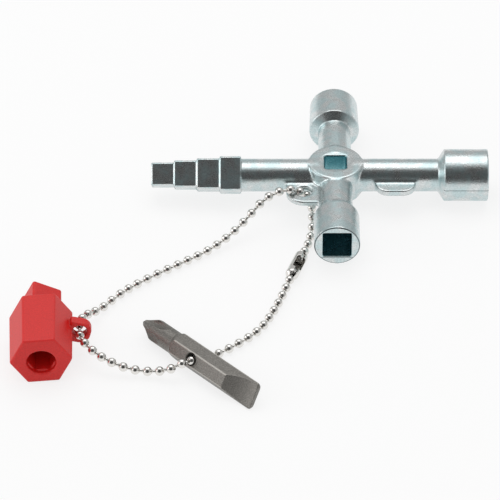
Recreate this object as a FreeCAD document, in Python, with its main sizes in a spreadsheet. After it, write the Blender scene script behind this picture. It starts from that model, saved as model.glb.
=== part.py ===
import FreeCAD, Part
import math
import os
import re
import Sketcher

# Multi utility key: a cast cross with four cabinet-key ends, a red hexagon adapter
# and a double-ended screwdriver bit, all threaded on one closed ball chain.
# The frame's origin is the centre of the cross's hub. The arms lie along X and Y,
# the casting's parting plane is Z = 0, and everything rests on Z = -right_diameter / 2.

Vector = FreeCAD.Vector
Rotation = FreeCAD.Rotation
X_AXIS = Vector(1, 0, 0)
Y_AXIS = Vector(0, 1, 0)
Z_AXIS = Vector(0, 0, 1)

SIZES = [
    # cross: hub and necks
    ("neck_diameter", 8.75, "round neck of each arm"),
    ("hub_diameter", 14.55, "boss where the arms meet"),
    ("hub_height", 8.9, "boss, face to face"),
    ("hub_square", 5.9, "square key hole through the boss"),
    ("hub_square_round", 0.8, "corner radius of that hole"),
    ("hub_recess_diameter", 8.1, "round recess about the hole's mouths"),
    ("hub_recess_depth", 0.5, "depth of that recess"),
    ("hub_rim_bevel", 0.3, "bevel on the boss's rims"),
    # cross: stepped square on the left arm
    ("root_end", 25.1, "hub centre to the foot of the largest square"),
    ("root_step", 5.7, "length of the largest square"),
    ("step_length", 6.07, "length of each smaller square"),
    ("square_largest", 9.0, "largest square, across flats"),
    ("square_fall", 1.0, "each square is this much smaller than the last"),
    ("square_edge_round", 0.3, "radius on the squares' long edges"),
    # cross: right socket, a triangle
    ("right_diameter", 13.8, "outside of the right socket"),
    ("right_shoulder_start", 27.3, "hub centre to the foot of its shoulder"),
    ("right_shoulder_length", 1.6, "length of that shoulder"),
    ("right_length", 11.6, "length of the socket behind the shoulder"),
    ("triangle_corner_wall", 0.9, "socket's wall outside the triangle's corners"),
    ("triangle_round", 0.8, "corner radius of the triangle"),
    ("right_depth", 10.0, "depth of the triangle socket"),
    # cross: back socket, a square
    ("back_root_diameter", 13.45, "outside of the back socket at its shoulder"),
    ("back_end_diameter", 12.9, "outside of the back socket at its mouth"),
    ("back_shoulder_start", 18.6, "hub centre to the foot of its shoulder"),
    ("back_shoulder_length", 1.2, "length of that shoulder"),
    ("back_length", 10.6, "length of the socket behind the shoulder"),
    ("back_square", 8.2, "square of the back socket"),
    ("back_square_round", 0.8, "corner radius of that square"),
    ("back_depth", 9.0, "depth of the back socket"),
    # cross: front socket, a smaller square
    ("front_diameter", 12.0, "outside of the front socket"),
    ("front_shoulder_start", 16.1, "hub centre to the foot of its shoulder"),
    ("front_shoulder_length", 2.6, "length of that shoulder"),
    ("front_length", 11.4, "length of the socket behind the shoulder"),
    ("front_square", 7.4, "square of the front socket"),
    ("front_square_rise", 0.25, "the square sits this much above the arm's axis"),
    ("front_depth", 10.0, "depth of the front socket"),
    ("mouth_round", 0.35, "radius on the sockets' outer rims"),
    # cross: lug for the chain and the flange on the other side
    ("lug_thickness", 1.5, "plate in the corner of the left and front arms"),
    ("lug_left", 13.1, "hub centre to the plate's left edge"),
    ("lug_front", 12.6, "hub centre to the plate's front edge"),
    ("lug_round", 4.7, "radius of the plate's free corner"),
    ("lug_hole_diameter", 4.4, "hole that the chain goes through"),
    ("flange_thickness", 1.7, "flange along the right arm"),
    ("flange_start", 10.65, "hub centre to the flange's near end"),
    ("flange_length", 10.4, "length of the flange"),
    ("flange_reach", 7.95, "arm axis to the flange's edge"),
    ("flange_round", 2.6, "radius of the flange's corners"),
    # red adapter
    ("adapter_flats", 13.17, "hexagon at the mouth, across flats"),
    ("adapter_draft", 0.9, "draft of the hexagon in degrees"),
    ("adapter_length", 17.3, "length of the hexagon"),
    ("adapter_edge_round", 0.45, "radius on the hexagon's long edges"),
    ("mouth_diameter", 7.3, "round lead-in of the bit hole"),
    ("mouth_depth", 1.2, "depth of that lead-in"),
    ("bit_clearance", 0.15, "bit hole across flats, over the bit"),
    ("bit_hole_depth", 14.0, "depth of the bit hole"),
    ("peg_side", 7.6, "square peg at the back"),
    ("peg_length", 7.2, "length of the peg"),
    ("peg_turn", 15.0, "direction of the peg's right corner in degrees"),
    ("peg_edge_round", 0.5, "radius on the peg's long edges"),
    ("eyelet_start", 10.2, "mouth face to the eyelet plate"),
    ("eyelet_thickness", 2.6, "thickness of the plate"),
    ("eyelet_turn", -18.0, "direction of the plate in degrees"),
    ("eyelet_offset", 2.3, "adapter axis to the plate's centre line"),
    ("eyelet_reach", 12.3, "adapter axis to the plate's end, along the plate"),
    ("eyelet_height", 5.4, "width of the plate"),
    ("eyelet_round", 2.4, "radius of the plate's free corners"),
    ("eyelet_hole_place", 9.4, "adapter axis to the chain hole, along the plate"),
    ("eyelet_hole_diameter", 3.6, "chain hole in the eyelet"),
    # screwdriver bit
    ("bit_flats", 6.3, "hexagon of the bit, across flats"),
    ("bit_length", 27.1, "shoulder to the slot tip"),
    ("bit_edge_round", 0.2, "radius on the hexagon's edges"),
    ("shoulder_length", 1.3, "cone between the hexagon and the round shank"),
    ("shank_diameter", 5.85, "round shank of the cross point"),
    ("shank_length", 8.9, "shoulder to the foot of the point"),
    ("point_length", 4.2, "length of the point"),
    ("point_diameter", 1.5, "flat at the end of the point"),
    ("flute_radius", 1.3, "section radius of the four flutes"),
    ("flute_wheel", 15.0, "radius of the path that each flute follows"),
    ("flute_core", 0.6, "radius of the core left between the flutes at the tip"),
    ("blade_thickness", 1.2, "slot blade at its thinnest"),
    ("blade_wheel", 13.8, "radius of the wheel that hollows the blade"),
    ("blade_land", 0.6, "slot tip back to the thinnest place"),
    ("blade_corner_round", 0.9, "radius on the blade's two corners"),
    ("bit_hole_place", 6.8, "shoulder to the cross hole"),
    ("bit_hole_diameter", 3.2, "cross hole for the chain"),
    # ball chain and its clasp
    ("bead_diameter", 2.4, "one ball of the chain"),
    ("bead_pitch", 3.23, "ball to ball"),
    ("pin_diameter", 0.7, "link wire between two balls"),
    ("clasp_wall", 0.3, "sheet thickness of the clasp's barrel"),
    ("clasp_clearance", 0.25, "barrel's inside round a ball"),
    ("clasp_end_clearance", 0.4, "held ball to the barrel's end wall"),
    ("clasp_mouth", 1.3, "end openings for the link wires"),
    ("clasp_slot", 1.0, "slot along the barrel"),
    ("clasp_window_width", 2.5, "window where a ball goes in"),
    ("clasp_window_length", 4.6, "length of that window"),
]

# Where the loose pieces lie on the ground: turn about Z, then roll about the piece's own axis.
ADAPTER_PLACE = (-74.15, -75.4)
ADAPTER_TURN = 3.1
ADAPTER_ROLL = -3.0
BIT_PLACE = (-40.0, -65.8)
BIT_TURN = -45.4
CLASP_ROLL = 35.0
# The bit's blade and cross hole face this far round from its flat.
BIT_FACE_ANGLE = 60.0

# The chain's route, chosen by hand: through the lug, down to the ground, through the
# adapter's eyelet and the bit's cross hole, through the clasp and back under the lug.
CHAIN_ROUTE = [
    (-7.5, -6.7, -1.8), (-9.9, -8.6, 1.7), (-14.0, -9.6, 2.5), (-18.9, -12.0, 1.5),
    (-23.8, -16.3, -2.5), (-28.5, -21.0, -4.5), (-34.0, -25.6, -5.7), (-41.5, -30.9, -5.7),
    (-50.0, -37.2, -5.7), (-56.0, -42.5, -5.7), (-60.7, -49.4, -5.5), (-64.2, -55.2, -2.2),
    (-65.5, -60.6, -0.2), (-65.2, -66.4, -0.4), (-60.4, -71.2, -2.2), (-53.4, -73.4, -4.6),
    (-46.6, -73.8, -5.4), (-41.4, -74.8, -3.4), (-38.3, -73.8, -1.6), (-34.7, -70.1, -4.5),
    (-31.7, -67.3, -5.8), (-25.6, -62.8, -5.65), (-19.8, -57.2, -5.7), (-16.1, -49.0, -5.7),
    (-13.4, -41.0, -5.6), (-10.6, -32.0, -4.8), (-7.4, -23.2, -5.5), (-6.2, -16.0, -5.6),
    (-6.2, -11.2, -5.3), (-6.3, -8.6, -4.4),
]
CLASP_BEAD = 54
BEADS_PER_GROUP = 8
# Balls have few faces, because more than sixty of them repeat.
BEAD_SIDES = 10
BEAD_LATITUDES = (-68, -42, -14, 14, 42, 68)
PIN_SIDES = 6

doc = FreeCAD.newDocument("multi_utility_key")
sheet = doc.addObject("Spreadsheet::Sheet", "Sizes")
for row, (alias, value, note) in enumerate(SIZES, start=1):
    sheet.set("A%d" % row, alias)
    sheet.set("B%d" % row, str(value))
    sheet.set("C%d" % row, note)
    sheet.setAlias("B%d" % row, alias)
doc.recompute()

NAMES = {alias for alias, _, _ in SIZES}


def bound(formula):
    """The formula with every size name written as a reference to the sheet."""
    return re.sub(r"[a-z_]+", lambda word: "Sizes." + word[0] if word[0] in NAMES else word[0], formula)


def value_of(formula):
    return float(sheet.evalExpression(bound(formula)))


def bind(item, prop, formula):
    item.setExpression(prop, bound(formula))


def new_body(label):
    body = doc.addObject("PartDesign::Body", label)
    body.Label = label
    return body


def origin_part(body, role):
    return next(item for item in body.Origin.OriginFeatures if item.Role == role)


def new_sketch(body, name, role, away="0", turn=None):
    """A sketch on one of the body's own planes, moved along the plane's normal."""
    sketch = body.newObject("Sketcher::SketchObject", name)
    sketch.AttachmentSupport = [(origin_part(body, role), "")]
    sketch.MapMode = "FlatFace"
    if turn:
        sketch.AttachmentOffset = FreeCAD.Placement(Vector(0, 0, 0), turn)
    if away != "0":
        bind(sketch, "AttachmentOffset.Base.z", away)
    return sketch


def locate(sketch, kind, axis, geometry, point, formula):
    """Fix one coordinate of a sketch point to a formula from the sheet."""
    amount = value_of(formula)
    if abs(amount) < 1e-9:
        sketch.addConstraint(Sketcher.Constraint("PointOnObject", geometry, point, axis))
        return
    if amount > 0:
        index = sketch.addConstraint(Sketcher.Constraint(kind, -1, 1, geometry, point, amount))
        bind(sketch, "Constraints[%d]" % index, formula)
    else:
        index = sketch.addConstraint(Sketcher.Constraint(kind, geometry, point, -1, 1, -amount))
        bind(sketch, "Constraints[%d]" % index, "0 - (" + formula + ")")


def draw_outline(sketch, corners):
    """A closed outline of straight sides; each corner is a pair of formulas."""
    points = [Vector(value_of(across), value_of(along), 0) for across, along in corners]
    first = sketch.GeometryCount
    count = len(points)
    for index in range(count):
        sketch.addGeometry(Part.LineSegment(points[index], points[(index + 1) % count]), False)
    for index in range(count):
        following = first + (index + 1) % count
        sketch.addConstraint(Sketcher.Constraint("Coincident", first + index, 2, following, 1))
    for index, (across, along) in enumerate(corners):
        locate(sketch, "DistanceX", -2, first + index, 1, across)
        locate(sketch, "DistanceY", -1, first + index, 1, along)


def draw_circle(sketch, across, along, diameter):
    centre = Vector(value_of(across), value_of(along), 0)
    geometry = sketch.addGeometry(Part.Circle(centre, Z_AXIS, value_of(diameter) / 2), False)
    locate(sketch, "DistanceX", -2, geometry, 3, across)
    locate(sketch, "DistanceY", -1, geometry, 3, along)
    index = sketch.addConstraint(Sketcher.Constraint("Diameter", geometry, value_of(diameter)))
    bind(sketch, "Constraints[%d]" % index, diameter)


def add_pad(body, sketch, length, reverse=False, both_ways=False, draft=None):
    pad = body.newObject("PartDesign::Pad", sketch.Name + "Pad")
    pad.Profile = sketch
    pad.SideType = "Symmetric" if both_ways else "One side"
    pad.Reversed = reverse
    bind(pad, "Length", length)
    if draft:
        bind(pad, "TaperAngle", draft)
    return pad


def add_pocket(body, sketch, depth=None, reverse=False):
    """A pocket into the body, or through all of it both ways where no depth is given."""
    pocket = body.newObject("PartDesign::Pocket", sketch.Name + "Pocket")
    pocket.Profile = sketch
    pocket.Reversed = reverse
    if depth:
        bind(pocket, "Length", depth)
    else:
        pocket.SideType = "Symmetric"
        pocket.Type = "ThroughAll"
    return pocket


def add_turning(body, sketch, axis, cut=False):
    kind = "Groove" if cut else "Revolution"
    turned = body.newObject("PartDesign::" + kind, sketch.Name + kind)
    turned.Profile = sketch
    turned.ReferenceAxis = (sketch, [axis])
    turned.Angle = 360
    return turned


def round_edges(body, name, radius, chosen):
    """Round the edges of the body so far whose middle and direction are chosen."""
    doc.recompute()
    base = body.Tip
    picks = []
    for index, edge in enumerate(base.Shape.Edges, start=1):
        start = edge.valueAt(edge.FirstParameter)
        end = edge.valueAt(edge.LastParameter)
        middle = edge.valueAt((edge.FirstParameter + edge.LastParameter) / 2)
        straight = abs(edge.Length - start.distanceToPoint(end)) < 1e-6
        direction = (end - start).normalize() if straight else None
        if chosen(edge, middle, direction):
            picks.append("Edge%d" % index)
    if not picks:
        raise ValueError("no edges found for " + name)
    rounding = body.newObject("PartDesign::Fillet", name)
    rounding.Base = (base, picks)
    bind(rounding, "Radius", radius)
    return rounding


def square_corners(side, centre_along="0"):
    half = "(" + side + " / 2)"
    low = centre_along + " - " + half
    high = centre_along + " + " + half
    return [(half, low), (half, high), ("0 - " + half, high), ("0 - " + half, low)]


def hexagon_corners(flats):
    """A hexagon with two flats level, across then along."""
    wide = "(" + flats + ") / sqrt(3)"
    narrow = "(" + flats + ") / sqrt(12)"
    half = "(" + flats + ") / 2"
    return [(wide, "0"), (narrow, half), ("0 - " + narrow, half), ("0 - " + wide, "0"),
            ("0 - " + narrow, "0 - " + half), (narrow, "0 - " + half)]


def turned_corners(reach, first_angle, count):
    """Corners of a regular outline at one distance from the centre."""
    corners = []
    for index in range(count):
        angle = "(%s + %d)" % (first_angle, 360 / count * index)
        corners.append((reach + " * cos" + angle, reach + " * sin" + angle))
    return corners


def along_axis(direction, axis):
    return direction is not None and abs(direction.dot(axis)) > 0.999


def near(measure, target):
    return abs(measure - target) < 0.01


def make_cross_key():
    body = new_body("cross_key")
    neck = "neck_diameter / 2"
    right_start = "right_shoulder_start + right_shoulder_length"
    right_end = right_start + " + right_length"
    back_start = "back_shoulder_start + back_shoulder_length"
    back_end = back_start + " + back_length"
    front_start = "front_shoulder_start + front_shoulder_length"
    front_end = front_start + " + front_length"

    arms_x = new_sketch(body, "ArmsAlongX", "XY_Plane")
    draw_outline(arms_x, [
        ("0 - root_end", "0"), (right_end, "0"), (right_end, "right_diameter / 2"),
        (right_start, "right_diameter / 2"), ("right_shoulder_start", neck), ("0 - root_end", neck)])
    add_turning(body, arms_x, "H_Axis")

    arms_y = new_sketch(body, "ArmsAlongY", "XY_Plane")
    draw_outline(arms_y, [
        ("0", "0 - (" + front_end + ")"), ("front_diameter / 2", "0 - (" + front_end + ")"),
        ("front_diameter / 2", "0 - (" + front_start + ")"), (neck, "0 - front_shoulder_start"),
        (neck, "back_shoulder_start"), ("back_root_diameter / 2", back_start),
        ("back_end_diameter / 2", back_end), ("0", back_end)])
    add_turning(body, arms_y, "V_Axis")

    hub = new_sketch(body, "Hub", "XZ_Plane")
    rim = "hub_height / 2 - hub_rim_bevel"
    face = "hub_diameter / 2 - hub_rim_bevel"
    draw_outline(hub, [
        ("0", "0 - hub_height / 2"), (face, "0 - hub_height / 2"), ("hub_diameter / 2", "0 - (" + rim + ")"),
        ("hub_diameter / 2", rim), (face, "hub_height / 2"), ("0", "hub_height / 2")])
    add_turning(body, hub, "V_Axis")

    # Four squares, corner upwards, one inside the other, each reaching one step further out.
    for step in range(4):
        side = "(square_largest - %d * square_fall)" % step
        square = new_sketch(body, "Square%d" % (step + 1), "YZ_Plane", "0 - root_end")
        draw_outline(square, turned_corners(side + " / sqrt(2)", "0", 4))
        add_pad(body, square, "root_step + %d * step_length" % step, reverse=True)
    square_reach = [value_of("(square_largest - %d * square_fall) / sqrt(2)" % step) for step in range(4)]
    round_edges(body, "SquareEdges", "square_edge_round", lambda edge, middle, direction: (
        along_axis(direction, X_AXIS) and middle.x < -value_of("root_end")
        and any(near(math.hypot(middle.y, middle.z), reach) for reach in square_reach)))

    lug = new_sketch(body, "Lug", "XY_Plane")
    draw_outline(lug, [
        ("0 - lug_left", "0"), ("0 - lug_left", "0 - lug_front"), ("0", "0 - lug_front"), ("0", "0")])
    add_pad(body, lug, "lug_thickness", both_ways=True)
    round_edges(body, "LugCorner", "lug_round", lambda edge, middle, direction: (
        along_axis(direction, Z_AXIS) and near(middle.x, -value_of("lug_left"))
        and near(middle.y, -value_of("lug_front"))))

    flange = new_sketch(body, "Flange", "XY_Plane")
    flange_end = "flange_start + flange_length"
    draw_outline(flange, [("flange_start", "0"), (flange_end, "0"), (flange_end, "0 - flange_reach"),
                          ("flange_start", "0 - flange_reach")])
    add_pad(body, flange, "flange_thickness", both_ways=True)
    round_edges(body, "FlangeCorners", "flange_round", lambda edge, middle, direction: (
        along_axis(direction, Z_AXIS) and near(middle.y, -value_of("flange_reach"))))

    round_edges(body, "MouthRims", "mouth_round", lambda edge, middle, direction: (
        direction is None and (near(middle.x, value_of(right_end)) or near(middle.y, value_of(back_end))
                               or near(middle.y, -value_of(front_end)))))

    hole = new_sketch(body, "HubSquare", "XY_Plane")
    draw_outline(hole, square_corners("hub_square"))
    add_pocket(body, hole)
    round_edges(body, "HubSquareCorners", "hub_square_round", lambda edge, middle, direction: (
        along_axis(direction, Z_AXIS) and near(abs(middle.x), value_of("hub_square / 2"))
        and near(abs(middle.y), value_of("hub_square / 2"))))
    for name, side, below in (("TopRecess", "0 + ", False), ("BottomRecess", "0 - ", True)):
        recess = new_sketch(body, name, "XY_Plane", side + "hub_height / 2")
        draw_circle(recess, "0", "0", "hub_recess_diameter")
        add_pocket(body, recess, "hub_recess_depth", reverse=below)

    front = new_sketch(body, "FrontSquare", "XZ_Plane", front_end)
    draw_outline(front, square_corners("front_square", "front_square_rise"))
    add_pocket(body, front, "front_depth")

    back = new_sketch(body, "BackSquare", "XZ_Plane", "0 - (" + back_end + ")")
    draw_outline(back, square_corners("back_square"))
    add_pocket(body, back, "back_depth", reverse=True)
    back_corner = value_of("back_square / 2")
    round_edges(body, "BackSquareCorners", "back_square_round", lambda edge, middle, direction: (
        along_axis(direction, Y_AXIS) and middle.y > 0
        and near(abs(middle.x), back_corner) and near(abs(middle.z), back_corner)))

    right = new_sketch(body, "RightTriangle", "YZ_Plane", right_end)
    triangle_reach = "(right_diameter / 2 - triangle_corner_wall)"
    draw_outline(right, turned_corners(triangle_reach, "90", 3))
    add_pocket(body, right, "right_depth")
    round_edges(body, "TriangleCorners", "triangle_round", lambda edge, middle, direction: (
        along_axis(direction, X_AXIS) and middle.x > 0
        and near(math.hypot(middle.y, middle.z), value_of(triangle_reach))))

    lug_hole = new_sketch(body, "LugHole", "XY_Plane")
    draw_circle(lug_hole, "lug_round - lug_left", "lug_round - lug_front", "lug_hole_diameter")
    add_pocket(body, lug_hole)
    return body


def make_bit_adapter():
    """The mouth's centre is the body's origin and the peg points along +Y."""
    body = new_body("bit_adapter")
    hexagon = new_sketch(body, "Hexagon", "XZ_Plane")
    draw_outline(hexagon, hexagon_corners("adapter_flats"))
    add_pad(body, hexagon, "adapter_length", reverse=True, draft="adapter_draft")
    round_edges(body, "HexagonEdges", "adapter_edge_round", lambda edge, middle, direction: (
        along_axis(direction, Y_AXIS)))

    peg = new_sketch(body, "Peg", "XZ_Plane", "0 - adapter_length")
    draw_outline(peg, turned_corners("peg_side / sqrt(2)", "peg_turn", 4))
    add_pad(body, peg, "peg_length", reverse=True)
    round_edges(body, "PegEdges", "peg_edge_round", lambda edge, middle, direction: (
        along_axis(direction, Y_AXIS) and middle.y > value_of("adapter_length")))

    # The eyelet plate leans from the hexagon's right corner, so its sketch is turned.
    lean = Rotation(Z_AXIS, value_of("eyelet_turn"))
    eyelet = new_sketch(body, "Eyelet", "XZ_Plane", "0 - eyelet_start", turn=lean)
    low = "eyelet_offset - eyelet_height / 2"
    high = "eyelet_offset + eyelet_height / 2"
    root = "adapter_flats / 4"
    draw_outline(eyelet, [(root, low), ("eyelet_reach", low), ("eyelet_reach", high), (root, high)])
    add_pad(body, eyelet, "eyelet_thickness", reverse=True)
    plate_end = lean.multVec(X_AXIS)
    round_edges(body, "EyeletCorners", "eyelet_round", lambda edge, middle, direction: (
        along_axis(direction, Y_AXIS)
        and near(plate_end.x * middle.x + plate_end.y * middle.z, value_of("eyelet_reach"))))
    eyelet_hole = new_sketch(body, "EyeletHole", "XZ_Plane", "0 - eyelet_start", turn=lean)
    draw_circle(eyelet_hole, "eyelet_hole_place", "eyelet_offset", "eyelet_hole_diameter")
    add_pocket(body, eyelet_hole, "eyelet_thickness")

    mouth = new_sketch(body, "Mouth", "XZ_Plane")
    draw_circle(mouth, "0", "0", "mouth_diameter")
    add_pocket(body, mouth, "mouth_depth")
    bore = new_sketch(body, "BitHole", "XZ_Plane")
    draw_outline(bore, hexagon_corners("bit_flats + bit_clearance"))
    add_pocket(body, bore, "bit_hole_depth")
    return body


def make_screwdriver_bit():
    """The origin is on the axis at the shoulder, and the slot blade points along +X."""
    body = new_body("screwdriver_bit")
    hexagon = new_sketch(body, "BitHexagon", "YZ_Plane", "0 - shoulder_length")
    draw_outline(hexagon, hexagon_corners("bit_flats"))
    add_pad(body, hexagon, "bit_length + shoulder_length")
    round_edges(body, "TipEdges", "blade_corner_round", lambda edge, middle, direction: (
        near(middle.x, value_of("bit_length"))))
    round_edges(body, "BitEdges", "bit_edge_round", lambda edge, middle, direction: (
        along_axis(direction, X_AXIS)))

    # The cone that turns the hexagon down to the round shank.
    shoulder = new_sketch(body, "Shoulder", "XY_Plane")
    start = "0 - shoulder_length"
    draw_outline(shoulder, [
        (start, "shank_diameter / 2"), ("0", "bit_flats / sqrt(3)"), (start, "bit_flats")])
    add_turning(body, shoulder, "H_Axis", cut=True)

    shank = new_sketch(body, "Shank", "XY_Plane")
    tip = "0 - (shank_length + point_length)"
    draw_outline(shank, [
        (tip, "0"), ("0", "0"), ("0", "shank_diameter / 2"), ("0 - shank_length", "shank_diameter / 2"),
        (tip, "point_diameter / 2")])
    add_turning(body, shank, "H_Axis")

    # One flute, ground by a thin wheel with a round rim, repeated four times about the axis.
    flute = body.newObject("PartDesign::SubtractiveTorus", "Flute")
    bind(flute, "Radius1", "flute_wheel")
    bind(flute, "Radius2", "flute_radius")
    flute.AttachmentSupport = [(origin_part(body, "XZ_Plane"), "")]
    flute.MapMode = "FlatFace"
    bind(flute, "AttachmentOffset.Base.x", tip)
    bind(flute, "AttachmentOffset.Base.y", "flute_core + flute_radius + flute_wheel")
    doc.recompute()
    flutes = body.newObject("PartDesign::PolarPattern", "Flutes")
    flutes.Originals = [flute]
    flutes.Axis = (origin_part(body, "X_Axis"), [""])
    flutes.Angle = 360
    flutes.Occurrences = 4
    body.Tip = flutes

    # The blade is hollow ground from both sides, across two opposite edges of the hexagon.
    turn = Rotation(X_AXIS, BIT_FACE_ANGLE)
    blade = new_sketch(body, "Blade", "XZ_Plane", turn=turn)
    height = "blade_thickness / 2 + blade_wheel"
    for side in (height, "0 - (" + height + ")"):
        draw_circle(blade, "bit_length - blade_land", side, "2 * blade_wheel")
    add_pocket(body, blade)

    hole = new_sketch(body, "CrossHole", "XY_Plane", turn=turn)
    draw_circle(hole, "bit_hole_place", "0", "bit_hole_diameter")
    add_pocket(body, hole)
    return body


def make_chain_clasp():
    """A rolled barrel along X, open along its top, that holds one ball at each end."""
    body = new_body("chain_clasp")
    inner = "bead_diameter / 2 + clasp_clearance"
    outer = inner + " + clasp_wall"
    half = "bead_pitch + bead_diameter / 2 + clasp_end_clearance + clasp_wall"
    taper = half + " - (" + outer + ") / 2"
    barrel = new_sketch(body, "Barrel", "XY_Plane")
    draw_outline(barrel, [
        ("0 - (" + half + ")", "clasp_mouth / 2"), ("0 - (" + half + " - clasp_wall)", "clasp_mouth / 2"),
        ("0 - (" + taper + ")", inner), (taper, inner),
        (half + " - clasp_wall", "clasp_mouth / 2"), (half, "clasp_mouth / 2"),
        (taper, outer), ("0 - (" + taper + ")", outer)])
    add_turning(body, barrel, "H_Axis")

    slot = new_sketch(body, "Slot", "XY_Plane")
    draw_outline(slot, [
        ("0 - 2 * (" + half + ")", "0 - clasp_slot / 2"), ("2 * (" + half + ")", "0 - clasp_slot / 2"),
        ("2 * (" + half + ")", "clasp_slot / 2"), ("0 - 2 * (" + half + ")", "clasp_slot / 2")])
    add_pocket(body, slot, "2 * (" + outer + ")", reverse=True)
    window = new_sketch(body, "Window", "XY_Plane")
    reach = "clasp_window_length / 2"
    across = "clasp_window_width / 2"
    draw_outline(window, [("0 - " + reach, "0 - " + across), (reach, "0 - " + across), (reach, across),
                          ("0 - " + reach, across)])
    add_pocket(body, window, "2 * (" + outer + ")", reverse=True)
    return body


def ring(centre, direction, side_way, radius, sides):
    up_way = direction.cross(side_way)
    points = []
    for index in range(sides):
        angle = 2 * math.pi * index / sides
        points.append(centre + side_way * (radius * math.cos(angle)) + up_way * (radius * math.sin(angle)))
    return points


def stacked_solid(rings):
    """A closed solid through parallel rings of points, with a flat face on each end."""
    faces = [Part.Face(Part.makePolygon(end + end[:1])) for end in (rings[0], rings[-1])]
    for lower, upper in zip(rings, rings[1:]):
        for index in range(len(lower)):
            after = (index + 1) % len(lower)
            corners = [lower[index], lower[after], upper[after], upper[index], lower[index]]
            faces.append(Part.Face(Part.makePolygon(corners)))
    return Part.Solid(Part.Shell(faces))


def side_vector(direction):
    return direction.cross(Z_AXIS).normalize()


def make_bead(centre, direction, radius):
    side_way = side_vector(direction)
    rings = []
    for latitude in BEAD_LATITUDES:
        angle = math.radians(latitude)
        level = centre + direction * (radius * math.sin(angle))
        rings.append(ring(level, direction, side_way, radius * math.cos(angle), BEAD_SIDES))
    return stacked_solid(rings)


def make_pin(start, start_way, end, end_way, radius):
    """A link wire whose ends lie flat on the two balls' end faces."""
    chord = (end - start).normalize()
    side_way = side_vector(chord)
    rings = []
    for place, way in ((start, start_way), (end, end_way)):
        points = []
        for point in ring(place, chord, side_way, radius, PIN_SIDES):
            points.append(point + chord * ((place - point).dot(way) / chord.dot(way)))
        rings.append(points)
    return stacked_solid(rings)


def make_group(label, solids):
    group = doc.addObject("Part::Feature", label)
    group.Label = label
    group.Shape = Part.makeCompound(solids)
    return group


def make_chain():
    """Balls and link wires in groups of like pieces, and the clasp's place."""
    radius = value_of("bead_diameter / 2")
    curve = Part.BSplineCurve()
    curve.buildFromPoles([Vector(*point) for point in CHAIN_ROUTE], False, 2)
    links = round(curve.length() / value_of("bead_pitch"))
    centres = curve.discretize(Number=links + 1)
    held = (centres[CLASP_BEAD - 1], centres[CLASP_BEAD + 1])
    balls = [centre for index, centre in enumerate(centres) if index != CLASP_BEAD]
    count = len(balls)
    ways = []
    for index in range(count):
        if index == CLASP_BEAD - 1:
            ways.append((balls[index + 1] - balls[index]).normalize())
        elif index == CLASP_BEAD:
            ways.append((balls[index] - balls[index - 1]).normalize())
        else:
            ways.append((balls[(index + 1) % count] - balls[index - 1]).normalize())
    cap = radius * math.sin(math.radians(BEAD_LATITUDES[-1]))
    beads = [make_bead(balls[index], ways[index], radius) for index in range(count)]
    pins = []
    for index in range(count):
        if index == CLASP_BEAD - 1:
            continue
        after = (index + 1) % count
        pins.append(make_pin(balls[index] + ways[index] * cap, ways[index],
                             balls[after] - ways[after] * cap, ways[after], value_of("pin_diameter / 2")))
    nodes = []
    for kind, solids in (("chain_beads", beads), ("chain_pins", pins)):
        for first in range(0, len(solids), BEADS_PER_GROUP):
            label = "%s_%d" % (kind, first // BEADS_PER_GROUP + 1)
            nodes.append(make_group(label, solids[first:first + BEADS_PER_GROUP]))
    radii = [1 / curve.curvature(step / 400) for step in range(1, 400)]
    print("chain: %d balls, route %.1f mm, tightest radius %.2f mm, loop closes over %.2f mm"
          % (count, curve.length(), min(radii), balls[0].distanceToPoint(balls[-1])))
    return nodes, held


ground = -value_of("right_diameter / 2")

cross_key = make_cross_key()

bit_adapter = make_bit_adapter()
half_hexagon = value_of("adapter_flats / sqrt(3)")
adapter_height = half_hexagon * math.sin(math.radians(60 - ADAPTER_ROLL))
adapter_turn = Rotation(Z_AXIS, ADAPTER_TURN) * Rotation(X_AXIS, value_of("adapter_draft"))
bit_adapter.Placement = FreeCAD.Placement(
    Vector(ADAPTER_PLACE[0], ADAPTER_PLACE[1], ground + adapter_height),
    adapter_turn * Rotation(Y_AXIS, ADAPTER_ROLL))

screwdriver_bit = make_screwdriver_bit()
screwdriver_bit.Placement = FreeCAD.Placement(
    Vector(BIT_PLACE[0], BIT_PLACE[1], ground + value_of("bit_flats / 2")), Rotation(Z_AXIS, BIT_TURN))

chain_nodes, held_balls = make_chain()
chain_clasp = make_chain_clasp()
clasp_way = (held_balls[1] - held_balls[0]).normalize()
clasp_turn = math.degrees(math.atan2(clasp_way.y, clasp_way.x))
chain_clasp.Placement = FreeCAD.Placement(
    (held_balls[0] + held_balls[1]) / 2, Rotation(Z_AXIS, clasp_turn) * Rotation(X_AXIS, CLASP_ROLL))

doc.recompute()
for item in doc.Objects:
    if "Invalid" in item.State or "Error" in item.State:
        raise RuntimeError(item.Name + " failed: " + ", ".join(item.State))

os.makedirs("parts", exist_ok=True)
for node in [cross_key, bit_adapter, screwdriver_bit, chain_clasp] + chain_nodes:
    shape = node.Shape
    if shape.isNull() or not shape.isValid():
        raise RuntimeError(node.Label + " has no valid shape")
    shape.exportStep("parts/%s.step" % node.Label)
    print("%-18s %2d solids %10.2f mm3" % (node.Label, len(shape.Solids), shape.Volume))
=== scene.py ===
import bpy
import numpy as np
from math import atan2, cos, pi, radians, sin, sqrt
from mathutils import Matrix, Quaternion, Vector


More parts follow.
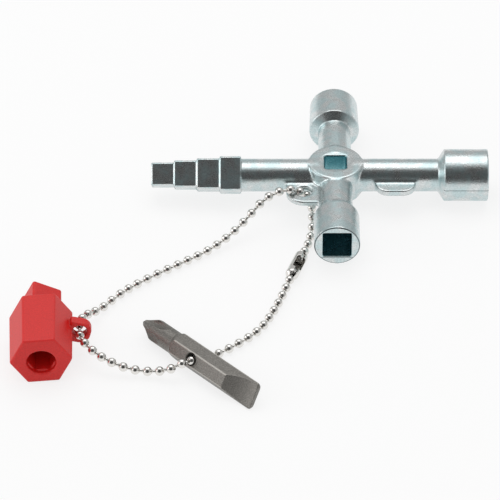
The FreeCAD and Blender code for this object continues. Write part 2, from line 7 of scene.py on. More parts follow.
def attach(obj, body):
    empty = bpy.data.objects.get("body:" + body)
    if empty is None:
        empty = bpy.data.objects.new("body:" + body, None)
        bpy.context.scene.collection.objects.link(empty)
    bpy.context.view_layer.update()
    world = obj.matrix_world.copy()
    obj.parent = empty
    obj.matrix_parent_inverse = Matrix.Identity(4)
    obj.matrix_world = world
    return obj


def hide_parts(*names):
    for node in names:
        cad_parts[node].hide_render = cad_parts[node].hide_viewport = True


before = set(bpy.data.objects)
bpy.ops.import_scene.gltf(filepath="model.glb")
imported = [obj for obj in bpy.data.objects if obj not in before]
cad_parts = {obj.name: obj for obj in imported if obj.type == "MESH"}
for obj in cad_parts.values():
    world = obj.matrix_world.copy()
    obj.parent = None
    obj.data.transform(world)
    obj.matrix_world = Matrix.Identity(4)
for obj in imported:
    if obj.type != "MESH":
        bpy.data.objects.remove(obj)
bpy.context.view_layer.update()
mm = 0.001  # sizes below are in millimetres, and the meshes get metres
ground = -6.9  # everything lies on this height
print("frame loaded: %d CAD nodes" % len(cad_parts))

# camera: a long lens, as product photographs are taken

cameraSetup = {
    "target": (-22.577, -31.848, 0.0),
    "distance": 816.56,
    "azimuth": 0.515,
    "elevation": 38.84,
    "roll": -0.344,
    "lens": 227.2,
}


def makeCamera(setup):
    a, e = radians(setup["azimuth"]), radians(setup["elevation"])
    back = Vector((sin(a) * cos(e), -cos(a) * cos(e), sin(e)))
    camera = bpy.data.objects.new("camera", bpy.data.cameras.new("camera"))
    camera.data.lens = setup["lens"]
    camera.data.sensor_width = 36
    camera.data.clip_start, camera.data.clip_end = 0.05, 10
    camera.location = (Vector(setup["target"]) + back * setup["distance"]) * mm
    camera.rotation_mode = "QUATERNION"
    upright = (-back).to_track_quat("-Z", "Y")
    camera.rotation_quaternion = upright @ Quaternion((0, 0, 1), radians(setup["roll"]))
    bpy.context.scene.collection.objects.link(camera)
    bpy.context.scene.camera = camera


makeCamera(cameraSetup)
print("camera placed")

# meshes from numpy arrays


def makePiece(name, points, faces, place=None):
    # points in mm, turned and moved by place, as a smooth mesh that rides on the object
    points = np.asarray(points, float)
    if place is not None:
        points = points @ np.array(place.to_3x3()).T + np.array(place.translation)
    mesh = bpy.data.meshes.new(name)
    faces = faces if isinstance(faces, list) else faces.tolist()
    mesh.from_pydata((points * mm).tolist(), [], faces)
    mesh.polygons.foreach_set("use_smooth", np.ones(len(mesh.polygons), bool))
    mesh.update()
    piece = bpy.data.objects.new(name, mesh)
    bpy.context.scene.collection.objects.link(piece)
    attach(piece, "root")
    print("%s: %d faces" % (name, len(mesh.polygons)))
    return piece


def addAttribute(piece, name, values):
    attribute = piece.data.attributes.new(name, "FLOAT", "POINT")
    attribute.data.foreach_set("value", values.astype(np.float32))


# A form is a field: the distance to its surface in mm, negative inside. These join such fields.


def softUnion(a, b, blend):
    # the smaller of two fields, lowered by blend/4 where they are equal, which leaves a fillet
    near = np.maximum(blend - np.abs(a - b), 0) / blend
    return np.minimum(a, b) - near * near * blend / 4


def softInside(a, b, blend):
    # the larger of two fields, raised by blend/4 where they are equal, which rounds the edge
    return -softUnion(-a, -b, blend)


def softCut(a, b, blend):
    # a without b, with the new edge rounded
    return softInside(a, -b, blend)


def regularOutline(u, v, apothem, sides, turn, rounding):
    # distance to a regular outline: the plane is folded onto one side, whose length ends at the
    # corners, and the outline is drawn in by the rounding and grown again by it
    angle = np.arctan2(v, u) - radians(turn)
    sector = 2 * pi / sides
    folded = angle - sector * np.round(angle / sector)
    radius = np.hypot(u, v)
    out = radius * np.cos(folded) - (apothem - rounding)
    halfSide = (apothem - rounding) * np.tan(sector / 2)
    over = np.maximum(np.abs(radius * np.sin(folded)) - halfSide, 0)
    return np.where(over > 0, np.hypot(np.maximum(out, 0), over), out) - rounding


def plateOutline(u, v, halfU, halfV, rounding):
    # distance to a rectangle with round corners, centred at zero
    a, b = np.abs(u) - halfU + rounding, np.abs(v) - halfV + rounding
    return np.minimum(np.maximum(a, b), 0) + np.hypot(np.maximum(a, 0), np.maximum(b, 0)) - rounding


def meshFromField(field, low, high, step):
    # One point in each grid cell that the surface crosses, at the middle of its crossings on the
    # cell's edges, and one square face across each crossed edge, between the four cells round it.
    # Three Newton steps then move every point onto the surface along the field's slope.
    low, high = np.array(low, float), np.array(high, float)
    count = np.ceil((high - low) / step).astype(int) + 1
    lines = [low[k] + step * np.arange(count[k]) for k in range(3)]
    grid = np.meshgrid(*lines, indexing="ij", sparse=True)
    value = np.broadcast_to(field(*grid), count).astype(np.float32)
    total, hits = np.zeros((*(count - 1), 3), np.float32), np.zeros(count - 1, np.float32)
    crossings = []
    for axis in range(3):
        others = [k for k in range(3) if k != axis]
        first = np.take(value, range(count[axis] - 1), axis)
        last = np.take(value, range(1, count[axis]), axis)
        edge = np.argwhere((first < 0) != (last < 0))
        edge = edge[((edge > 0) & (edge < count - 1))[:, others].all(1)]
        a, b = first[tuple(edge.T)], last[tuple(edge.T)]
        spot = low + step * edge
        spot[:, axis] += step * a / (a - b)
        around = []
        for shift in ((0, 0), (-1, 0), (-1, -1), (0, -1)):
            cell = edge.copy()
            cell[:, others] += shift
            np.add.at(total, tuple(cell.T), spot)
            np.add.at(hits, tuple(cell.T), 1)
            around.append(cell)
        outward = (a < 0) != (axis == 1)  # the four cells turn the other way round the Y axis
        crossings.append((around, outward))
    used = np.argwhere(hits > 0)
    number = np.full(count - 1, -1)
    number[tuple(used.T)] = np.arange(len(used))
    points = (total[tuple(used.T)] / hits[tuple(used.T)][:, None]).astype(float)
    faces = []
    for around, outward in crossings:
        ring = np.stack([number[tuple(cell.T)] for cell in around], 1)
        faces.append(np.where(outward[:, None], ring, ring[:, ::-1]))
    nudge, leastSlope = step / 50, 0.04
    for _ in range(3):
        here = field(*points.T)
        slope = np.stack([field(*(points + nudge * way).T) - here for way in np.eye(3)], 1) / nudge
        move = slope * (here / np.maximum((slope ** 2).sum(1), leastSlope))[:, None]
        points -= np.clip(move, -step / 2, step / 2)
    return points, np.concatenate(faces)


# cross key

crossKey = {
    "neckRadius": 4.375, "armSunk": 1,
    "hubRadius": 7.275, "hubHeight": 8.9, "hubSquare": 5.9, "hubSquareRound": 0.8,
    "recessRadius": 4.05, "recessDepth": 0.08, "recessRound": 0.1,
    "rootEnd": 25.1, "rootStep": 5.7, "stepLength": 6.07, "largestSquare": 9.0, "squareEdge": 0.3,
    "right": {"radius": 6.9, "end": 6.9, "start": 27.3, "shoulder": 1.6, "length": 11.6},
    "back": {"radius": 6.725, "end": 6.45, "start": 18.6, "shoulder": 1.2, "length": 10.6},
    "front": {"radius": 6.0, "end": 6.0, "start": 16.1, "shoulder": 2.6, "length": 11.4},
    "triangleApothem": 3.0, "triangleRound": 0.8, "rightDepth": 10.0,
    "backSquare": 8.2, "backSquareRound": 0.8, "backDepth": 9.0,
    "frontSquare": 7.4, "frontSquareRound": 0.2, "frontSquareRise": 0.25, "frontDepth": 10.0,
    "floorRound": 0.4,
    "lugThickness": 1.5, "lugLeft": 13.1, "lugFront": 12.6, "lugRound": 4.7, "lugHole": 4.4,
    "flangeThickness": 1.7, "flangeStart": 10.65, "flangeLength": 10.4, "flangeReach": 8.1,
    "flangeRound": 3.2,
    "castFillet": 0.5, "shoulderFillet": 0.2, "plateFillet": 0.9, "stairFillet": 0.15,
    "castEdge": 0.36, "hubEdge": 0.576, "lugEdge": 0.45, "flangeEdge": 0.28,
    "partingRise": 0.05, "partingWidth": 0.22, "partingStart": 28.6,
    # the teal tint with painted shade on the walls of holes: how far out of a hole it shows and
    # fades, and where painted shade deepens in the sockets
    "tealShadeReach": 0.25, "tealShadeFade": 0.3, "socketShadeStart": 29, "socketShadeLength": 9, "socketShadeFrom": 15,
    "gridStep": 0.33,
}


def socketOutside(along, radius, arm, neck, k):
    # a barrel between its shoulder, a cone from the neck to the full radius, and its end
    rise = arm["radius"] - neck
    slant = sqrt(arm["shoulder"] ** 2 + rise ** 2)
    cone = ((radius - neck) * arm["shoulder"] - (along - arm["start"]) * rise) / slant
    root = arm["start"] + arm["shoulder"]
    taper = (arm["radius"] - arm["end"]) / arm["length"]
    barrel = radius - arm["radius"] + taper * (along - root)
    end = along - root - arm["length"]
    return softInside(softInside(cone, barrel, k / 2), end, k)


def crossHoles(x, y, z):
    # the hub's square, and the sockets: a straight outline down to a flat floor
    c = crossKey
    parts = ("start", "shoulder", "length")
    ends = {arm: sum(c[arm][part] for part in parts) for arm in ("right", "back", "front")}
    triangle = regularOutline(y, z, c["triangleApothem"], 3, -90, c["triangleRound"])
    backSquare = regularOutline(x, z, c["backSquare"] / 2, 4, 0, c["backSquareRound"])
    frontSquare = regularOutline(x, z - c["frontSquareRise"], c["frontSquare"] / 2, 4, 0,
                                 c["frontSquareRound"])
    return (regularOutline(x, y, c["hubSquare"] / 2, 4, 0, c["hubSquareRound"]),
            softInside(triangle, ends["right"] - c["rightDepth"] - x, c["floorRound"]),
            softInside(backSquare, ends["back"] - c["backDepth"] - y, c["floorRound"]),
            softInside(frontSquare, ends["front"] - c["frontDepth"] + y, c["floorRound"]))


def crossField(x, y, z):
    c = crossKey
    neck, edge, sunk = c["neckRadius"], c["castEdge"], c["armSunk"]
    aboutX, aboutY, aboutZ = np.hypot(y, z), np.hypot(x, z), np.hypot(x, y)
    endsX = np.maximum(x - c["right"]["start"] - sunk, -x - c["rootEnd"] - sunk)
    endsY = np.maximum(y - c["back"]["start"] - sunk, -y - c["front"]["start"] - sunk)
    arms = softUnion(np.maximum(aboutX - neck, endsX), np.maximum(aboutY - neck, endsY),
                     c["castFillet"])
    hub = softInside(aboutZ - c["hubRadius"], np.abs(z) - c["hubHeight"] / 2, c["hubEdge"])
    form = softUnion(arms, hub, c["castFillet"])
    for along, about, arm in ((x, aboutX, "right"), (y, aboutY, "back"), (-y, aboutY, "front")):
        form = softUnion(form, socketOutside(along, about, c[arm], neck, edge), c["shoulderFillet"])
    # four squares, corner upwards, each smaller and reaching one step further out
    stairs = 1e3  # outside everything, until the first square joins
    for step in range(4):
        outline = regularOutline(y, z, (c["largestSquare"] - step) / 2, 4, 45, c["squareEdge"])
        reach = c["rootEnd"] + c["rootStep"] + step * c["stepLength"]
        block = softInside(outline, np.maximum(-x - reach, x + c["rootEnd"]), edge)
        stairs = softUnion(stairs, block, c["stairFillet"])
    form = softUnion(form, stairs, c["stairFillet"])
    # the lug's plate in the corner of the left and front arms, and the flange beside the right arm
    lug = plateOutline(x, y, c["lugLeft"], c["lugFront"], c["lugRound"])
    lug = np.maximum(lug, np.maximum(x, y))
    lug = softInside(lug, np.abs(z) - c["lugThickness"] / 2, c["lugEdge"])
    form = softUnion(form, lug, c["plateFillet"])
    flange = plateOutline(x - c["flangeStart"] - c["flangeLength"] / 2, y,
                          c["flangeLength"] / 2, c["flangeReach"], c["flangeRound"])
    flange = np.maximum(flange, y)
    flange = softInside(flange, np.abs(z) - c["flangeThickness"] / 2, c["flangeEdge"])
    form = softUnion(form, flange, c["plateFillet"])
    # the mould's parting line is only left on the right barrel
    form = form - c["partingRise"] * np.exp(-(z / c["partingWidth"]) ** 2) * (x > c["partingStart"])
    recessFloor = c["hubHeight"] / 2 - c["recessDepth"]
    recess = softInside(aboutZ - c["recessRadius"], recessFloor - np.abs(z), c["recessRound"])
    form = softCut(form, recess, c["recessRound"])
    eye = np.hypot(x + c["lugLeft"] - c["lugRound"], y + c["lugFront"] - c["lugRound"])
    form = softCut(form, eye - c["lugHole"] / 2, edge)
    for hole in crossHoles(x, y, z):
        form = softCut(form, hole, edge)
    return form


crossPoints, crossFaces = meshFromField(
    crossField, (-50, -31, -7.6), (41.5, 31.4, 7.6), crossKey["gridStep"])
crossPiece = makePiece("cross_casting", crossPoints, crossFaces)
deepest = np.min(crossHoles(*crossPoints.T), axis=0)
# recess is 1 on the walls of holes, which get a teal tint with painted shade, and the second
# attribute, a painted shade, grows to 1 deeper inside the front and back sockets
film = (crossKey["tealShadeReach"] - deepest) / crossKey["tealShadeFade"]
addAttribute(crossPiece, "recess", np.clip(film, 0, 1))
fromHub = np.abs(crossPoints[:, 1])
socketShadeDistance = np.clip(crossKey["socketShadeStart"] - fromHub, 0, crossKey["socketShadeLength"])
inSocket = fromHub > crossKey["socketShadeFrom"]
addAttribute(crossPiece, "depth", socketShadeDistance / crossKey["socketShadeLength"] * inSocket)
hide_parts("cross_key")

# red adapter, drawn with its mouth at the origin and its peg along +Y

adapter = {
    "flats": 13.65, "draft": 0.9, "length": 17.5, "edge": 0.6, "rim": 0.55,
    "mouthDiameter": 7.3, "mouthDepth": 1.2, "mouthDrop": 0.5, "mouthFloorRound": 0.2,
    "boreFlats": 6.45, "boreDepth": 14.0, "boreRound": 0.15, "boreFloorRound": 0.3,
    "boreEdge": 0.2,
    "pegSide": 8.0, "pegLength": 7.5, "pegSunk": 2, "pegTurn": 60, "pegEdge": 0.7,
    "pegFillet": 0.5,
    "eyeStart": 10.8, "eyeThickness": 2.6, "eyeTurn": -18, "eyeOffset": 1.8,
    "eyeRoot": 3.3, "eyeEnd": 6.5, "eyeReach": 12.3, "eyeHeight": 6.4, "eyeRound": 2.6,
    "eyeFillet": 0.6, "holePlace": 9.4, "holeRise": 0.5, "holeDiameter": 3.6,
    "place": (-74.15, -76.0), "turn": 3.1, "roll": -3.0, "gridStep": 0.2,
}


def adapterField(x, y, z):
    a = adapter
    edge = a["rim"]
    draft = y * np.tan(radians(a["draft"]))
    body = regularOutline(x, z, a["flats"] / 2, 6, 30, a["edge"]) - draft
    form = softInside(body, np.maximum(-y, y - a["length"]), edge)
    peg = regularOutline(x, z, a["pegSide"] / 2, 4, a["pegTurn"], a["pegEdge"])
    pegEnds = np.maximum(y - a["length"] - a["pegLength"], a["length"] - a["pegSunk"] - y)
    peg = softInside(peg, pegEnds, edge)
    form = softUnion(form, peg, a["pegFillet"])
    c, s = cos(radians(a["eyeTurn"])), sin(radians(a["eyeTurn"]))
    u, v = x * c + z * s, z * c - x * s - a["eyeOffset"]
    middle, half = (a["eyeRoot"] + a["eyeReach"]) / 2, (a["eyeReach"] - a["eyeRoot"]) / 2
    tab = plateOutline(u - middle, v, half, a["eyeHeight"] / 2, a["eyeRound"])
    tab = softInside(tab, a["eyeEnd"] - u, edge)  # it starts at the hexagon's corner
    halfTab = a["eyeThickness"] / 2
    tab = softInside(tab, np.abs(y - a["eyeStart"] - halfTab) - halfTab, edge)
    form = softUnion(form, tab, a["eyeFillet"])
    hole = np.hypot(u - a["holePlace"], v - a["holeRise"]) - a["holeDiameter"] / 2
    form = softCut(form, hole, edge)
    low = z + a["mouthDrop"]
    mouth = softInside(np.hypot(x, low) - a["mouthDiameter"] / 2, y - a["mouthDepth"],
                       a["mouthFloorRound"])
    form = softCut(form, mouth, edge)
    bore = regularOutline(x, low, a["boreFlats"] / 2, 6, 30, a["boreRound"])
    bore = softInside(bore, y - a["boreDepth"], a["boreFloorRound"])
    return softCut(form, bore, a["boreEdge"])


adapterPoints, adapterFaces = meshFromField(
    adapterField, (-8.4, -0.8, -8.2), (13.2, 25.2, 8.2), adapter["gridStep"])
halfHexagon = adapter["flats"] / sqrt(3)
adapterHeight = halfHexagon * sin(radians(60 - adapter["roll"]))
adapterPlace = (Matrix.Translation((*adapter["place"], ground + adapterHeight))
                @ Matrix.Rotation(radians(adapter["turn"]), 4, "Z")
                @ Matrix.Rotation(radians(adapter["draft"]), 4, "X")
                @ Matrix.Rotation(radians(adapter["roll"]), 4, "Y"))
adapterPiece = makePiece("adapter_moulding", adapterPoints, adapterFaces, adapterPlace)
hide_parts("bit_adapter")

# screwdriver bit, drawn with its shoulder at the origin and its blade along +X

bit = {
    "flats": 6.3, "length": 27.1, "edge": 0.2, "shoulder": 1.3,
    "shankRadius": 2.925, "shankLength": 8.9, "shankSunk": 1, "shankFillet": 0.2,
    "pointLength": 4.2, "pointRadius": 0.75, "pointEdge": 0.3, "turnedEdge": 0.15,
    "fluteRadius": 1.3, "flutePath": 15.0, "fluteCore": 0.6, "groundEdge": 0.12,
    "bladeThickness": 1.2, "bladeWheel": 13.8, "bladeLand": 0.6, "bladeCorner": 1.08,
    "holePlace": 6.8, "holeRadius": 1.6, "holeEdge": 0.3, "faceAngle": 60,
    "highlightRadius": 3.5, "highlightFade": 0.08,
    "place": (-40.0, -65.8), "turn": -45.4, "gridStep": 0.14,
}


def bitField(x, y, z):
    b = bit
    about = np.hypot(y, z)
    corner = b["flats"] / sqrt(3)
    rise = corner - b["shankRadius"]
    outline = regularOutline(y, z, b["flats"] / 2, 6, 30, b["edge"])
    cone = ((about - corner) * b["shoulder"] - x * rise) / sqrt(b["shoulder"] ** 2 + rise ** 2)
    form = softInside(outline, cone, b["turnedEdge"])
    form = softInside(form, -x - b["shoulder"], b["turnedEdge"])
    form = softInside(form, x - b["length"], b["bladeCorner"])
    tip = b["shankLength"] + b["pointLength"]
    fall = b["shankRadius"] - b["pointRadius"]
    point = ((about - b["shankRadius"]) * b["pointLength"] - (x + b["shankLength"]) * fall) / sqrt(
        b["pointLength"] ** 2 + fall ** 2)
    shank = softInside(about - b["shankRadius"], point, b["pointEdge"])
    shank = softInside(shank, np.maximum(-x - tip, x - b["shankSunk"]), b["turnedEdge"])
    # four flutes, each ground by a thin wheel whose path is a circle over the tip
    far, side = np.maximum(np.abs(y), np.abs(z)), np.minimum(np.abs(y), np.abs(z))
    wheelCentre = b["fluteCore"] + b["fluteRadius"] + b["flutePath"]
    path = np.hypot(x + tip, far - wheelCentre) - b["flutePath"]
    shank = softCut(shank, np.hypot(path, side) - b["fluteRadius"], b["groundEdge"])
    form = softUnion(form, shank, b["shankFillet"])
    # the blade is hollow ground from both sides by a large wheel
    c, s = cos(radians(b["faceAngle"])), sin(radians(b["faceAngle"]))
    across, thick = y * c + z * s, z * c - y * s
    wheel = np.hypot(x - b["length"] + b["bladeLand"],
                     np.abs(thick) - b["bladeThickness"] / 2 - b["bladeWheel"]) - b["bladeWheel"]
    form = softCut(form, wheel, b["groundEdge"])
    hole = np.hypot(x - b["holePlace"], across) - b["holeRadius"]
    return softCut(form, hole, b["holeEdge"])


bitPoints, bitFaces = meshFromField(
    bitField, (-13.8, -4.1, -3.7), (27.8, 4.1, 3.7), bit["gridStep"])
bitPlace = (Matrix.Translation((*bit["place"], ground + bit["flats"] / 2))
            @ Matrix.Rotation(radians(bit["turn"]), 4, "Z"))
bitPiece = makePiece("steel_bit", bitPoints, bitFaces, bitPlace)
# a painted highlight: 1 on the hexagon's upper edges
paintedHighlight = (np.hypot(bitPoints[:, 1], bitPoints[:, 2]) - bit["highlightRadius"]) / bit["highlightFade"]
addAttribute(bitPiece, "wearAndHighlight", np.clip(paintedHighlight, 0, 1) * (bitPoints[:, 2] > 0))
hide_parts("screwdriver_bit")

# ball chain: hollow rolled balls on short wires, along one route, and its clasp

chainRoute = [
    (-7.5, -6.7, -1.8), (-9.9, -8.6, 1.7), (-14.0, -9.6, 2.5), (-18.9, -12.0, 1.5),
    (-23.8, -16.3, -2.5), (-28.5, -21.0, -4.5), (-34.0, -25.6, -5.7), (-41.5, -30.9, -5.7),
    (-50.0, -37.2, -5.7), (-56.0, -42.5, -5.7), (-60.7, -49.4, -5.5), (-64.2, -55.2, -2.2),
    (-65.5, -60.6, -0.2), (-65.2, -66.4, -0.4), (-60.4, -71.2, -2.2), (-53.4, -73.4, -4.6),
    (-46.6, -73.8, -5.4), (-41.4, -74.8, -3.4), (-38.3, -73.8, -1.6), (-34.7, -70.1, -4.5),
    (-31.7, -67.3, -5.8), (-25.6, -62.8, -5.65), (-19.8, -57.2, -5.7), (-16.1, -49.0, -5.7),
    (-13.4, -41.0, -5.6), (-10.6, -32.0, -4.8), (-7.4, -23.2, -5.5), (-6.2, -16.0, -5.6),
    (-6.2, -11.2, -5.3), (-6.3, -8.6, -4.4),
]
chain = {
    "ballRadius": 1.2, "pitch": 3.23, "mouthRadius": 0.5, "lipRadius": 0.42, "lipDepth": 0.22,
    "wireRadius": 0.4, "wireStops": (0.22, 0.5, 0.78),  # shares of the way from ball to ball
    "around": 20, "rings": 18, "wireAround": 10,
    "skipped": 54,  # the place in the clasp's middle that has no ball
    # the balls slide on their wires: (place, mm that it lies further along than evenly spaced)
    "slack": [(0, 0.3), (5, -0.2), (9, 0.0), (14, -0.4), (18, -0.45), (20, -1.0), (22, -0.6),
              (24, 0.6), (27, 2.3), (29, 1.7), (31, 1.0), (34, 0.55), (38, 0.0), (44, -0.2),
              (49, -0.55), (52, -0.9), (53, -1.2), (55, -1.6), (58, -1.2), (59, -0.4), (60, 0.3),
              (61, 0.0)],
}


def routePoints(route):
    # the smooth line of a NURBS spline with the route as its control points
    curve = bpy.data.curves.new("chain_route", "CURVE")
    curve.dimensions = "3D"
    curve.resolution_u = 40
    spline = curve.splines.new("NURBS")
    spline.points.add(len(route) - 1)
    for point, place in zip(spline.points, route):
        point.co = (*(v * mm for v in place), 1)
    spline.order_u = 3
    spline.use_endpoint_u = True
    line = bpy.data.objects.new("chain_route", curve)
    mesh = bpy.data.meshes.new_from_object(line)
    points = np.array([v.co for v in mesh.vertices]) / mm
    bpy.data.meshes.remove(mesh)
    bpy.data.objects.remove(line)
    bpy.data.curves.remove(curve)
    return points


def ballPlaces(line, count, slack):
    # points at even distances along the line, each moved on by its slack
    along = np.concatenate([[0], np.cumsum(np.linalg.norm(np.diff(line, axis=0), axis=1))])
    at = np.linspace(0, along[-1], count) + np.interp(np.arange(count), *np.array(slack).T)
    return np.stack([np.interp(at, along, line[:, k]) for k in range(3)], 1)


def turnedAlong(starts, ways, profile, around):
    # A profile of (distance along, radius) turned about the direction at each start. The points are
    # start + way * distance + radius * (cos t * side + sin t * up), with a flat face on each end.
    side = np.cross(ways, (0, 0, 1.0))
    side /= np.linalg.norm(side, axis=1)[:, None]
    up = np.cross(side, ways)
    up /= np.linalg.norm(up, axis=1)[:, None]
    t = np.arange(around) * 2 * pi / around
    profile = np.asarray(profile, float)
    ring = np.cos(t)[:, None] * side[:, None, None, :] + np.sin(t)[:, None] * up[:, None, None, :]
    points = (starts[:, None, None, :] + profile[None, :, :1, None] * ways[:, None, None, :]
              + profile[None, :, 1:, None] * ring)
    rows, one = len(profile), np.arange(around)
    a = (np.arange(rows - 1)[:, None] * around + one).ravel()
    b = (np.arange(rows - 1)[:, None] * around + (one + 1) % around).ravel()
    quads = np.stack([a, b, b + around, a + around], 1)
    first = np.arange(len(starts))[:, None, None] * rows * around
    caps = np.stack([one[::-1], one + (rows - 1) * around])
    faces = (first + quads).reshape(-1, 4).tolist() + (first + caps).reshape(-1, around).tolist()
    return points.reshape(-1, 3), faces


def ballChain():
    c = chain
    line = routePoints(chainRoute)
    total = np.linalg.norm(np.diff(line, axis=0), axis=1).sum()
    places = ballPlaces(line, int(round(total / c["pitch"])) + 1, c["slack"])
    balls = np.delete(places, c["skipped"], 0)
    ways = np.roll(balls, -1, 0) - np.roll(balls, 1, 0)
    ways[c["skipped"] - 1:c["skipped"] + 1] = balls[c["skipped"]] - balls[c["skipped"] - 1]
    ways /= np.linalg.norm(ways, axis=1)[:, None]
    # a ball's outside, with its two mouths rolled a little inwards
    top = np.arccos(c["mouthRadius"] / c["ballRadius"])
    lat = np.linspace(-top, top, c["rings"])
    outside = np.stack([c["ballRadius"] * np.sin(lat), c["ballRadius"] * np.cos(lat)], 1)
    lip = np.array([[outside[-1, 0] - c["lipDepth"], c["lipRadius"]]])
    profile = np.concatenate([lip * (-1, 1), outside, lip])
    ballPoints, ballFaces = turnedAlong(balls, ways, profile, c["around"])
    # wires from mouth to mouth, and none through the clasp
    after = np.roll(balls, -1, 0)
    joined = np.arange(len(balls)) != c["skipped"] - 1
    wire = [(stop, c["wireRadius"]) for stop in c["wireStops"]]
    wirePoints, wireFaces = turnedAlong(
        balls[joined], (after - balls)[joined], wire, c["wireAround"])
    faces = ballFaces + [[v + len(ballPoints) for v in face] for face in wireFaces]
    piece = makePiece("nickel_ball_chain", np.concatenate([ballPoints, wirePoints]), faces)
    return piece, line, total, balls


def smallestGap(field, places, place):
    # the least distance between the balls and a form, in mm
    back = place.inverted()
    local = places @ np.array(back.to_3x3()).T + np.array(back.translation)
    return field(*local.T).min() - chain["ballRadius"]


chainPiece, chainLine, chainLength, balls = ballChain()
heldBalls = balls[chain["skipped"] - 1:chain["skipped"] + 1]
print("gaps between the balls and cross, adapter, bit: %.2f, %.2f, %.2f mm" % (
    smallestGap(crossField, balls, Matrix()), smallestGap(adapterField, balls, adapterPlace),
    smallestGap(bitField, balls, bitPlace)))
chainNodes = ["chain_%s_%d" % (kind, k) for kind in ("beads", "pins") for k in range(1, 9)]
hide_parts(*chainNodes)

clasp = {
    "inner": 1.45, "outer": 1.75, "half": 5.13, "mouth": 0.65, "wall": 0.3,
    "slot": 1.0, "windowWidth": 2.5, "windowLength": 4.6, "windowRound": 0.5,
    "coneRound": 0.5, "endRound": 0.1, "sheetEdge": 0.08, "slotEdge": 0.1,
    "roll": 35.0, "gridStep": 0.08,
}


def claspField(x, y, z):
    # a barrel with cone ends, hollow, open along its top and with a wider window in the middle
    c = clasp
    about, far = np.hypot(y, z), np.abs(x)
    slant = c["outer"] / 2

    def barrel(radius, half):
        fall = radius - c["mouth"]
        cone = (about - radius) * slant + (far - half + slant) * fall
        cone = cone / sqrt(slant ** 2 + fall ** 2)
        shell = softInside(about - radius, cone, c["coneRound"])
        return softInside(shell, far - half, c["endRound"])

    inside = barrel(c["inner"], c["half"] - c["wall"])
    form = softCut(barrel(c["outer"], c["half"]), inside, c["sheetEdge"])
    form = softCut(form, np.maximum(about - c["mouth"], 0.1 - far), c["sheetEdge"])
    slot = np.maximum(np.abs(y) - c["slot"] / 2, -z)
    window = plateOutline(x, y, c["windowLength"] / 2, c["windowWidth"] / 2, c["windowRound"])
    form = softCut(form, slot, c["slotEdge"])
    return softCut(form, np.maximum(window, -z), c["slotEdge"])


claspPoints, claspFaces = meshFromField(
    claspField, (-5.4, -2, -2), (5.4, 2, 2), clasp["gridStep"])
heldWay = heldBalls[1] - heldBalls[0]
claspPlace = (Matrix.Translation(heldBalls.mean(0))
              @ Matrix.Rotation(atan2(heldWay[1], heldWay[0]), 4, "Z")
              @ Matrix.Rotation(radians(clasp["roll"]), 4, "X"))
claspPiece = makePiece("nickel_clasp", claspPoints, claspFaces, claspPlace)
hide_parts("chain_clasp")
print("chain: %.1f mm" % chainLength)

# materials


def linear(code):
    # sRGB hex to linear red, green, blue
    value = np.array([int(code[k:k + 2], 16) for k in (1, 3, 5)]) / 255
    return (*np.where(value <= 0.04045, value / 12.92, ((value + 0.055) / 1.055) ** 2.4), 1.0)


def addNode(tree, kind, inputs=None, stops=(), **settings):
    # one node with its settings; inputs are {input: a value, or the socket that feeds it}, and
    # stops are a ramp's [(place, colour)]
    node = tree.nodes.new(kind)
    for name, value in settings.items():
        setattr(node, name, value)
    for k, (at, colour) in enumerate(stops):
        elements = node.color_ramp.elements
        element = elements[k] if k < len(elements) else elements.new(at)
        element.position, element.color = at, colour
    for name, value in (inputs or {}).items():
        if isinstance(value, bpy.types.NodeSocket):
            tree.links.new(value, node.inputs[name])
        else:
            node.inputs[name].default_value = value
    return node


def newMaterial(name):
    material = bpy.data.materials.new(name)
    material.use_nodes = True
    material.node_tree.nodes.clear()
    return material, material.node_tree


def grey(value):
    return (value, value, value, 1)


plainMix = {"data_type": "RGBA"}
multiply = {"data_type": "RGBA", "blend_type": "MULTIPLY"}


